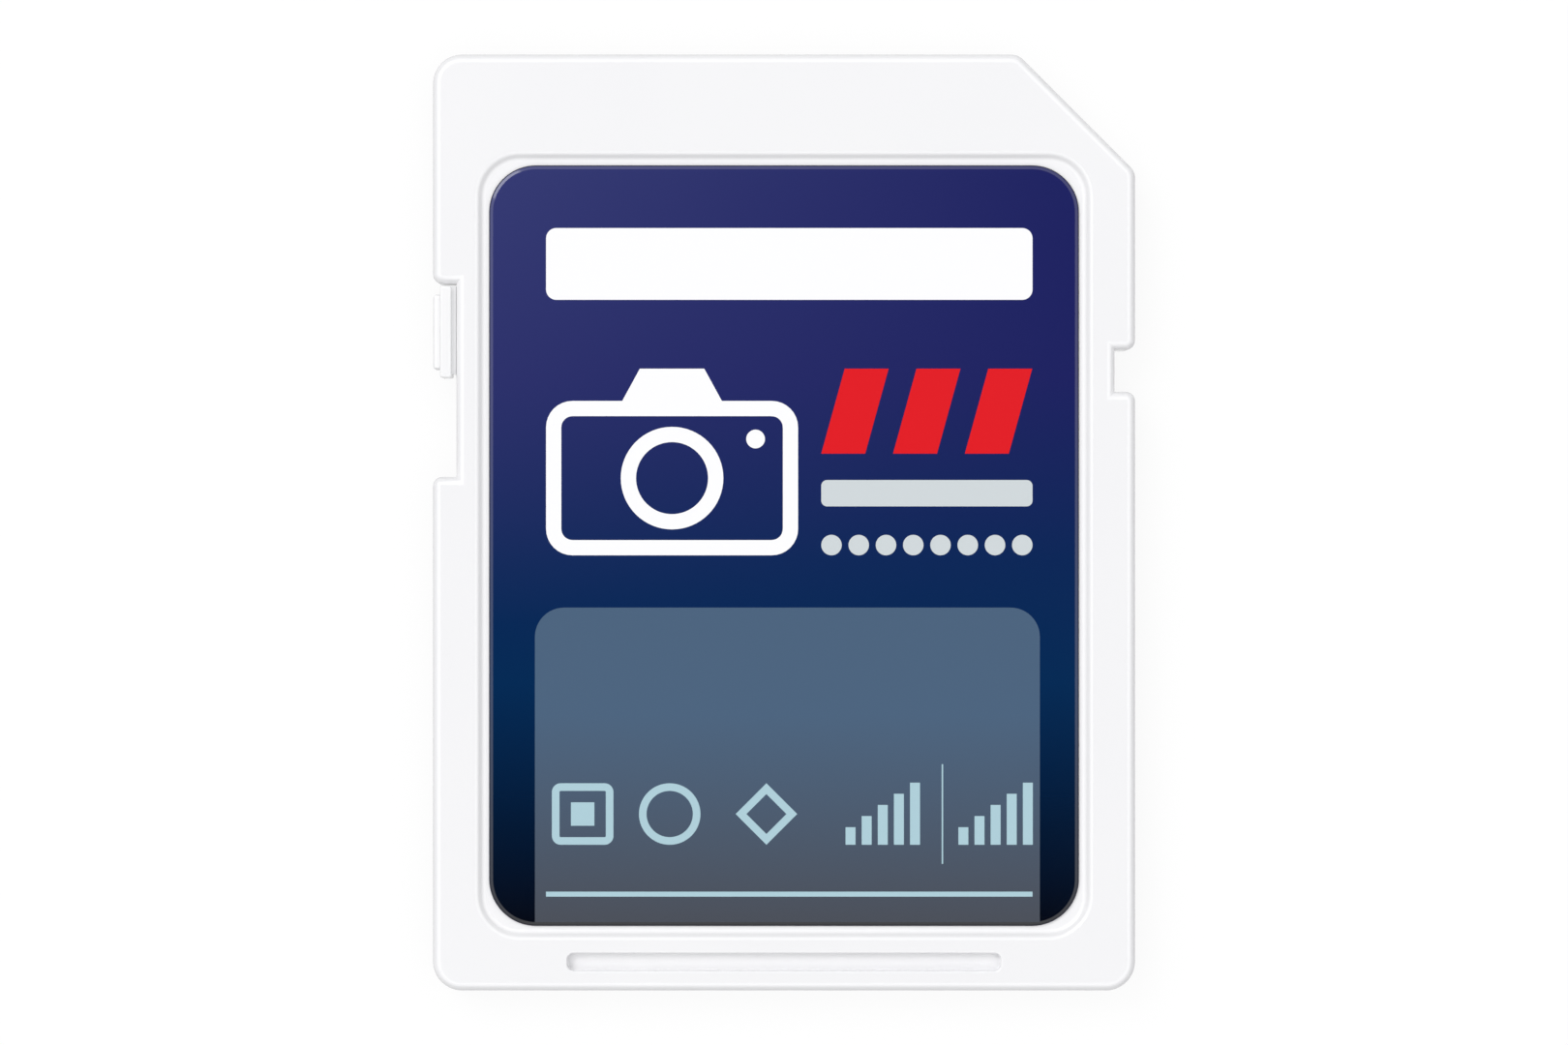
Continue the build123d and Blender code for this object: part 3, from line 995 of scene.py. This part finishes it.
    def build_front(self) -> None:
        """Models the front half: rounded face, label recess, finger groove, ribs and pins."""
        shell = self.half("front_moulding", self.seam_height, self.top)
        shell.bevel(at_height(self.top), *self.edge)
        self.sink(shell, self.recess)
        self.sink(shell, self.groove)
        shell.combine(self.cavity(self.seam_height - OVERRUN, self.ceiling), Combine.CUT)
        shell.combine(self.slot(), Combine.CUT)
        root = (self.ceiling + self.recess.floor) / 2
        for low, high in self.pads:
            middle = (low.x + high.x) / 2
            left, right = middle - self.rib_width / 2, middle + self.rib_width / 2
            rib = Workpiece.block("rib", (left, low.y, self.board_top), (right, high.y, root))
            shell.combine(rib, Combine.WELD)
        for place in self.pin_places():
            shell.combine(Workpiece.rod("pin", place, self.pin_radius, (self.pin_foot, root)), Combine.WELD)
        shell.hand_over(self.white, Body.HOUSING, Slot.SHELL, "front_shell")

    def build_back(self) -> None:
        """Models the back half: side rails, slab, board seat and the comb between the contacts."""
        shell = self.half("back_moulding", self.rail_bottom, self.seam_height)
        shell.bevel(at_height(self.rail_bottom), *self.back_edge)
        shell.combine(self.slab(), Combine.WELD)
        shell.combine(self.cavity(self.board_bottom, self.seam_height + OVERRUN), Combine.CUT)
        for tool in (*self.pockets(), self.slot(), *self.windows()):
            shell.combine(tool, Combine.CUT)
        radius = self.pin_radius + self.pin_clearance
        heights = (self.pin_foot - self.pin_clearance, self.seam_height)
        for place in self.pin_places():
            shell.combine(Workpiece.rod("hole", place, radius, heights), Combine.CUT)
        shell.hand_over(self.white, Body.HOUSING, Slot.SHELL, "back_shell")

    def slab(self) -> Workpiece:
        """Makes the thick middle of the back, with the lead-in bevel at its front.

        Returns:
            The slab.
        """
        heights = (0.0, (self.rail_bottom + self.seam_height) / 2)
        slab = self.outline("slab", heights, self.slab_radius, self.cut_radius, rail=self.rail_width)
        slab.bevel(at_height(0.0), *self.back_edge)
        slab.slice(Vector((0, self.front - self.lead_in, 0)), Vector((0, 1, -1)))
        return slab

    def pockets(self) -> list[Workpiece]:
        """Makes tools for the pockets that thin the floor, in two columns.

        Returns:
            The tools.
        """
        margin = self.pin_inset + self.pin_radius + self.pin_clearance + self.floor_rib
        window_end = min(low.y for low, high in self.pads) - self.pad_margin
        back, front = -self.front + self.wall + margin, window_end - self.floor_rib
        side, middle = self.half_width - self.wall - margin, self.floor_rib / 2
        length = (front - back - (self.pocket_rows - 1) * self.floor_rib) / self.pocket_rows
        low, high = (-side, back, self.pin_foot), (-middle, back + length, self.seam_height)
        first = Workpiece.round_block("pocket", low, high, self.pocket_corner)
        columns = first.row(2, (side + middle, 0.0))
        pitch = (0.0, length + self.floor_rib)
        return [pocket for column in columns for pocket in column.row(self.pocket_rows, pitch)]

    def windows(self) -> list[Workpiece]:
        """Makes tools for the contact windows, open to the front, and for the pads' seats in their roofs.

        Returns:
            The tools.
        """
        reach = self.wall + self.board_clearance
        tools = []
        for low, high in self.pads:
            left, right, end = low.x - self.pad_margin, high.x + self.pad_margin, low.y - self.pad_margin
            roof = (right, self.front + OVERRUN, self.rail_bottom)
            window = Workpiece.block("window", (left, end, -OVERRUN), roof)
            seat = Workpiece.block(
                "seat",
                (left + self.seat_step, end + self.seat_step, self.rail_bottom - self.seat_overrun),
                (right - self.seat_step, self.front - reach, self.board_bottom + self.seat_overrun),
            )
            seat.slice(*self.cut_plane(reach))
            tools += [window, seat]
        return tools


@dataclass
class LockSlider:
    """Write-lock tab: a stepped bar and a ledge in the notch, a web through the wall and a keeper."""

    white: Material
    tab_width: float = 0.25
    tab_inset: float = 0.28
    tab_step: float = 0.14
    tab_rounding: float = 0.12
    body_inner: float = -11.37
    body_heights: Span = (0.82, 1.98)
    ledge_inner: float = -11.22
    ledge_step: float = 0.25
    web_inset: float = 0.13
    web_heights: Span = (1.22, 1.58)
    keeper_width: float = 0.4
    keeper_inset: float = 0.365
    keeper_top: float = 1.6
    rounding: float = 0.07
    steps: int = 4

    def build(self) -> None:
        """Models the slider."""
        low, high = node_box("lock_slider")
        bottom, top = self.body_heights
        overlap, back = self.body_inner - self.rounding, low.y + self.web_inset
        face = high.x - self.keeper_width
        tab = (low.y + self.tab_inset, high.y - self.tab_inset)
        keeper = (low.y + self.keeper_inset, high.y - self.keeper_inset)
        ledge = (bottom + self.ledge_step, top - self.ledge_step)
        web = self.web_heights
        body = Workpiece.block(
            "lock_tab", (low.x + self.tab_width, low.y, bottom), (self.body_inner, high.y, top)
        )
        body.bevel(everything, self.rounding, self.steps)
        grip = Workpiece.block(
            "grip", (low.x, tab[0], bottom + self.tab_step), (overlap, tab[1], top - self.tab_step)
        )
        body.combine(grip.bevel(everything, self.tab_rounding, self.steps), Combine.WELD)
        blocks = {
            "ledge": ((overlap, back, ledge[0]), (self.ledge_inner, high.y, ledge[1])),
            "web": ((overlap, back, web[0]), (face + self.rounding, high.y, web[1])),
            "keeper": ((face, keeper[0], low.z), (high.x, keeper[1], self.keeper_top)),
        }
        for name, corners in blocks.items():
            body.combine(Workpiece.block(name, *corners), Combine.WELD)
        body.hand_over(self.white, Body.LOCK, Slot.SLIDER, "lock_slider")


@dataclass(frozen=True)
class Bar:
    """A flat printed bar: its lowest and highest place and the radius of its corners."""

    low: Place
    high: Place
    radius: float = 0.0
    steps: int = 8

    def lay(self, height: float) -> Workpiece:
        """Makes the bar.

        Args:
            height: Height of the flat piece.

        Returns:
            The flat piece.
        """
        (left, bottom), (right, top) = self.low, self.high
        clear_selection()
        bpy.ops.mesh.primitive_plane_add(size=1, location=((left + right) / 2, (bottom + top) / 2, height))
        bpy.context.active_object.scale = (right - left, top - bottom, 1)
        piece = Workpiece("bar")
        return piece.bevel(everything, self.radius, self.steps, Pick.POINTS) if self.radius else piece

    def top_corners(self) -> Test:
        """Makes a test for both points at the bar's upper end."""
        return upright_at((self.low[0], self.high[1]), self.high)


@dataclass(frozen=True)
class Disc:
    """A flat printed disc: its centre, radius and the number of straight sides of its edge."""

    place: Place
    radius: float
    sides: int = 64

    def lay(self, height: float) -> Workpiece:
        """Makes the disc.

        Args:
            height: Height of the flat piece.

        Returns:
            The flat piece.
        """
        clear_selection()
        bpy.ops.mesh.primitive_circle_add(
            vertices=self.sides, radius=self.radius, fill_type="NGON", location=(*self.place, height)
        )
        return Workpiece("disc")


@dataclass
class Label:
    """Film in the recess and the print on it: fields of colour and simple shapes."""

    film: Material
    panel_ink: Material
    white_ink: Material
    red_ink: Material
    grey_ink: Material
    blue_ink: Material
    corner: Rounding = (1.6, 18)
    slope_width: float = 0.14
    slope_height: float = 0.045
    rim: Rounding = (0.055, 7)
    crease: float = 15.0
    ink_height: float = 0.006
    panel_sides: Span = (-8.5, 8.73)
    panel_top: float = -2.905
    panel_corner: Rounding = (1.0, 12)
    writing_field: Bar = Bar((-8.12, 7.6), (8.48, 10.05), 0.35)
    camera_stroke: float = 0.52
    camera_body: Bar = Bar((-8.12, -1.12), (0.48, 4.15), 0.9)
    camera_lens: Disc = Disc((-3.82, 1.515), 1.75)
    camera_lamp: Disc = Disc((-0.97, 2.85), 0.32, 32)
    camera_hump: Bar = Bar((-5.52, 4.15), (-2.12, 5.25))
    hump_lean: float = 0.6
    stripe: Bar = Bar((1.27, 2.35), (2.77, 5.25))
    stripe_count: int = 3
    stripe_pitch: float = 2.45
    stripe_slant: float = 0.8
    rule: Bar = Bar((1.27, 0.55), (8.48, 1.45), 0.2)
    dot: Disc = Disc((1.62, -0.77), 0.35, 32)
    dot_count: int = 8
    dot_pitch: float = 0.93
    base_line: Bar = Bar((-8.12, -12.77), (8.48, -12.6))
    divider: Bar = Bar((5.38, -11.65), (5.43, -8.25))
    sign_stroke: float = 0.26
    chip: Bar = Bar((-7.92, -11.0), (-5.82, -8.9), 0.3)
    chip_core: Bar = Bar((-7.27, -10.35), (-6.47, -9.55))
    ring: Disc = Disc((-3.9, -9.95), 1.05)
    lozenge: Disc = Disc((-0.6, -9.95), 1.05, 4)
    level: Bar = Bar((2.1, -11.0), (2.44, -10.4))
    level_count: int = 5
    level_pitch: float = 0.55
    level_rise: float = 0.38
    scale_count: int = 2
    scale_pitch: float = 3.85

    def __post_init__(self) -> None:
        """Takes the film's place from the frame, and with it the faces that get printed."""
        self.low, self.high = node_box("front_label")
        self.face = self.high.z
        self.panel_face = self.face + self.ink_height

    def build(self) -> None:
        """Models the film and prints it."""
        rim = self.face - self.slope_height
        film = Workpiece.round_block("label_film", self.low, (self.high.x, self.high.y, rim), self.corner)
        film.crown(at_height(rim), self.slope_width, self.slope_height)
        film.bevel(at_height(rim), *self.rim)
        film.hand_over(self.film, Body.HOUSING, Slot.LABEL, "front_label", crease=self.crease)
        self.print_layer("print_panel", self.panel_ink, [self.panel()])
        self.print_layer("print_white", self.white_ink, self.white_shapes())
        self.print_layer("print_red", self.red_ink, self.stripes())
        self.print_layer("print_grey", self.grey_ink, self.rules())
        self.print_layer("print_blue", self.blue_ink, self.panel_signs())

    def print_layer(self, name: str, ink: Material, shapes: list[Workpiece]) -> None:
        """Turns flat shapes into one printed layer.

        Args:
            name: Name of the layer.
            ink: Its ink.
            shapes: Its flat shapes.
        """
        first, *others = shapes
        first.gather(others)
        first.rename(name)
        first.thicken(self.ink_height)
        first.hand_over(ink, Body.HOUSING, Slot.LABEL)

    def panel(self) -> Workpiece:
        """Makes the paler field at the foot of the label, with two round corners.

        Returns:
            The flat piece.
        """
        left, right = self.panel_sides
        panel = Bar((left, self.low.y + self.slope_width), (right, self.panel_top))
        return panel.lay(self.face).bevel(panel.top_corners(), *self.panel_corner, Pick.POINTS)

    def white_shapes(self) -> list[Workpiece]:
        """Makes a field to write on and a plain sign of a camera, drawn in one stroke width.

        Returns:
            The flat pieces.
        """
        field = self.writing_field.lay(self.face)
        body = self.camera_body.lay(self.face).hollow(self.camera_stroke)
        hump = self.camera_hump.lay(self.face)
        hump.lean(upright_at((self.camera_hump.low[0], self.camera_hump.high[1])), self.hump_lean)
        hump.lean(upright_at(self.camera_hump.high), -self.hump_lean)
        lens = self.camera_lens.lay(self.face).hollow(self.camera_stroke)
        return [field, body, hump, lens, self.camera_lamp.lay(self.face)]

    def stripes(self) -> list[Workpiece]:
        """Makes a row of slanted stripes.

        Returns:
            The flat pieces.
        """
        first = self.stripe.lay(self.face)
        first.lean(self.stripe.top_corners(), self.stripe_slant)
        return first.row(self.stripe_count, (self.stripe_pitch, 0.0))

    def rules(self) -> list[Workpiece]:
        """Makes a pale rule and a row of dots under the stripes."""
        dots = self.dot.lay(self.face).row(self.dot_count, (self.dot_pitch, 0.0))
        return [self.rule.lay(self.face), *dots]

    def panel_signs(self) -> list[Workpiece]:
        """Makes the pale signs on the panel: two lines, a chip, a ring, a lozenge and level scales.

        Returns:
            The flat pieces.
        """
        full, drawn = (self.base_line, self.divider, self.chip_core), (self.chip, self.ring, self.lozenge)
        signs = [shape.lay(self.panel_face) for shape in full]
        signs += [shape.lay(self.panel_face).hollow(self.sign_stroke) for shape in drawn]
        return signs + self.level_scale().row(self.scale_count, (self.scale_pitch, 0.0))

    def level_scale(self) -> Workpiece:
        """Makes a row of bars, each taller than the last.

        Returns:
            The bars, as one flat piece.
        """
        (left, bottom), (right, top) = self.level.low, self.level.high
        bars = []
        for index in range(self.level_count):
            shift, rise = index * self.level_pitch, index * self.level_rise
            bars.append(Bar((left + shift, bottom), (right + shift, top + rise)).lay(self.panel_face))
        return bars[0].gather(bars[1:])


@dataclass
class Electronics:
    """Gold contacts, and the board and its parts, which keep their CAD shape."""

    gold: Material
    pad_corner: Rounding = (0.12, 5)
    pad_edge: Rounding = (0.012, 2)

    def build(self) -> None:
        """Models the contact pads and dresses the CAD nodes."""
        for number in CONTACT_NUMBERS:
            low, high = node_box(f"contact_{number}")
            pad = Workpiece.round_block(f"pad_{number}", low, high, self.pad_corner)
            pad.bevel(at_height(low.z), *self.pad_edge)
            pad.hand_over(self.gold, Body.HOUSING, Slot.CONTACT, f"contact_{number}")
        finishes = self.finishes()
        for name, node in frame["nodes"].items():
            for start, material in finishes.items():
                if name.startswith(start):
                    node.data.materials.clear()
                    node.data.materials.append(material)
                    log.info("%s: dressed as %s", name, material.name)

    def finishes(self) -> dict[str, Material]:
        """Builds the finishes of the CAD nodes.

        Returns:
            The material for each start of a node's name.
        """
        resin = MouldedPlastic(
            "package_resin",
            colour=(26, 26, 28),
            shade=(32, 32, 34),
            roughness=(0.5, 0.7),
            gloss=0.5,
            grain=Grain(0.04, 2.0, 0.004, 0.3),
        ).build()
        finishes = {
            "circuit_board": SolderMask("solder_mask").build(),
            "flash_memory": resin,
            "controller": resin,
        }
        for chip, colour in (("capacitor", (148, 112, 78)), ("resistor", (24, 24, 28))):
            middle = sum(corner.x for corner in node_box(f"{chip}_1")) / 2
            finishes[chip] = TinnedChip(f"{chip}_ends", colour, middle).build()
        return finishes


@dataclass
class Studio:
    """Floor, light and camera."""

    frame_width: float = 53.48
    lens: float = 85.0
    sensor: float = 36.0
    clip_start: float = 0.005
    face_height: float = 2.1
    floor_radius: float = 0.6
    floor_sides: int = 96
    floor_lit: Colour = (108, 108, 109)
    floor_seen: Colour = (252, 252, 252)
    floor_glow: float = 0.9
    sky_stops: Stops = (
        (0.0, (138, 138, 139)),
        (0.3, (138, 138, 139)),
        (0.6, (204, 204, 205)),
        (0.8, (255, 255, 255)),
        (0.965, (255, 255, 255)),
        (0.985, (0, 0, 0)),
    )
    sky_strength: float = 1.3
    key_energy: float = 2.9
    key_size: float = 0.5
    key_place: Corner = (-0.45, 0.45, 0.77)

    def build(self) -> None:
        """Sets up the studio."""
        self.floor()
        self.sky()
        self.key()
        self.camera()
        bpy.context.scene.view_settings.view_transform = "Standard"

    def floor(self) -> None:
        """Lays a pale floor that glows for the eye alone, so that it is white and keeps its shadows."""
        clear_selection()
        bpy.ops.mesh.primitive_circle_add(
            vertices=self.floor_sides, radius=self.floor_radius, fill_type="NGON"
        )
        floor = bpy.context.active_object
        floor.name = "floor"
        material = bpy.data.materials.new("pale_floor")
        material.use_nodes = True
        desk = NodeDesk(material.node_tree)
        path = desk.add("ShaderNodeLightPath", {})
        seen = desk.math("MAXIMUM", path.outputs["Is Camera Ray"], path.outputs["Is Glossy Ray"])
        seen = desk.math("MAXIMUM", seen, path.outputs["Is Transmission Ray"])
        white = desk.blend(seen, linear(self.floor_lit), linear(self.floor_seen))
        matt = desk.add("ShaderNodeBsdfDiffuse", {"Color": white})
        glow = desk.add("ShaderNodeEmission", {"Color": (1.0, 1.0, 1.0, 1.0), "Strength": 1.0})
        share = desk.math("MULTIPLY", seen, self.floor_glow)
        mix = desk.add("ShaderNodeMixShader", {0: share, 1: matt.outputs[0], 2: glow.outputs[0]})
        desk.add("ShaderNodeOutputMaterial", {"Surface": mix.outputs[0]})
        floor.data.materials.append(material)

    def sky(self) -> None:
        """Lights the studio from a broad ring of lamps over grey walls, with a dark ceiling in its middle."""
        world = bpy.data.worlds.new("studio")
        bpy.context.scene.world = world
        world.use_nodes = True
        desk = NodeDesk(world.node_tree)
        direction = desk.add("ShaderNodeTexCoord", {}).outputs["Generated"]
        colour = desk.ramp(desk.part(direction, "Z"), self.sky_stops)
        light = desk.add("ShaderNodeBackground", {"Color": colour, "Strength": self.sky_strength})
        desk.add("ShaderNodeOutputWorld", {"Surface": light.outputs[0]})

    def key(self) -> None:
        """Hangs the soft main lamp over the upper left corner."""
        clear_selection()
        bpy.ops.object.light_add(type="AREA", location=self.key_place)
        lamp = bpy.context.active_object
        lamp.name = "key_lamp"
        lamp.data.energy = self.key_energy
        lamp.data.size = self.key_size
        lamp.rotation_euler = (-Vector(self.key_place)).to_track_quat("-Z", "Y").to_euler()

    def camera(self) -> None:
        """Looks straight down on the card, with the contact end at the top of the picture."""
        distance = self.frame_width * self.lens / self.sensor
        place = (0.0, 0.0, (self.face_height + distance) * MILLIMETRE)
        clear_selection()
        bpy.ops.object.camera_add(location=place, rotation=(0, 0, 0))
        camera = bpy.context.active_object
        camera.name = "camera"
        camera.data.lens = self.lens
        camera.data.sensor_width = self.sensor
        camera.data.clip_start = self.clip_start
        bpy.context.scene.camera = camera


def main() -> None:
    """Builds and dresses the card."""
    logging.basicConfig(level=logging.INFO, format="%(name)s: %(message)s")
    shell_white = MouldedPlastic("shell_white", colour=(245, 245, 246), shade=(242, 242, 244)).build()
    slider_white = MouldedPlastic("slider_white", colour=(247, 247, 248), shade=(245, 245, 246)).build()
    housing = Housing(shell_white)
    housing.build_front()
    housing.build_back()
    LockSlider(slider_white).build()
    low, high = node_box("front_label")
    Label(
        film=LabelFilm("label_film", bottom=low.y, top=high.y, side=high.x).build(),
        panel_ink=PrintInk("panel_ink", (75, 98, 124), foot_colour=(73, 77, 86)).build(),
        white_ink=PrintInk("white_ink", (248, 248, 250)).build(),
        red_ink=PrintInk("red_ink", (222, 30, 38)).build(),
        grey_ink=PrintInk("grey_ink", (205, 212, 215)).build(),
        blue_ink=PrintInk("blue_ink", (172, 203, 213)).build(),
    ).build()
    Electronics(GoldPlate("contact_gold").build()).build()
    Studio().build()


if __name__ == "__main__":
    main()
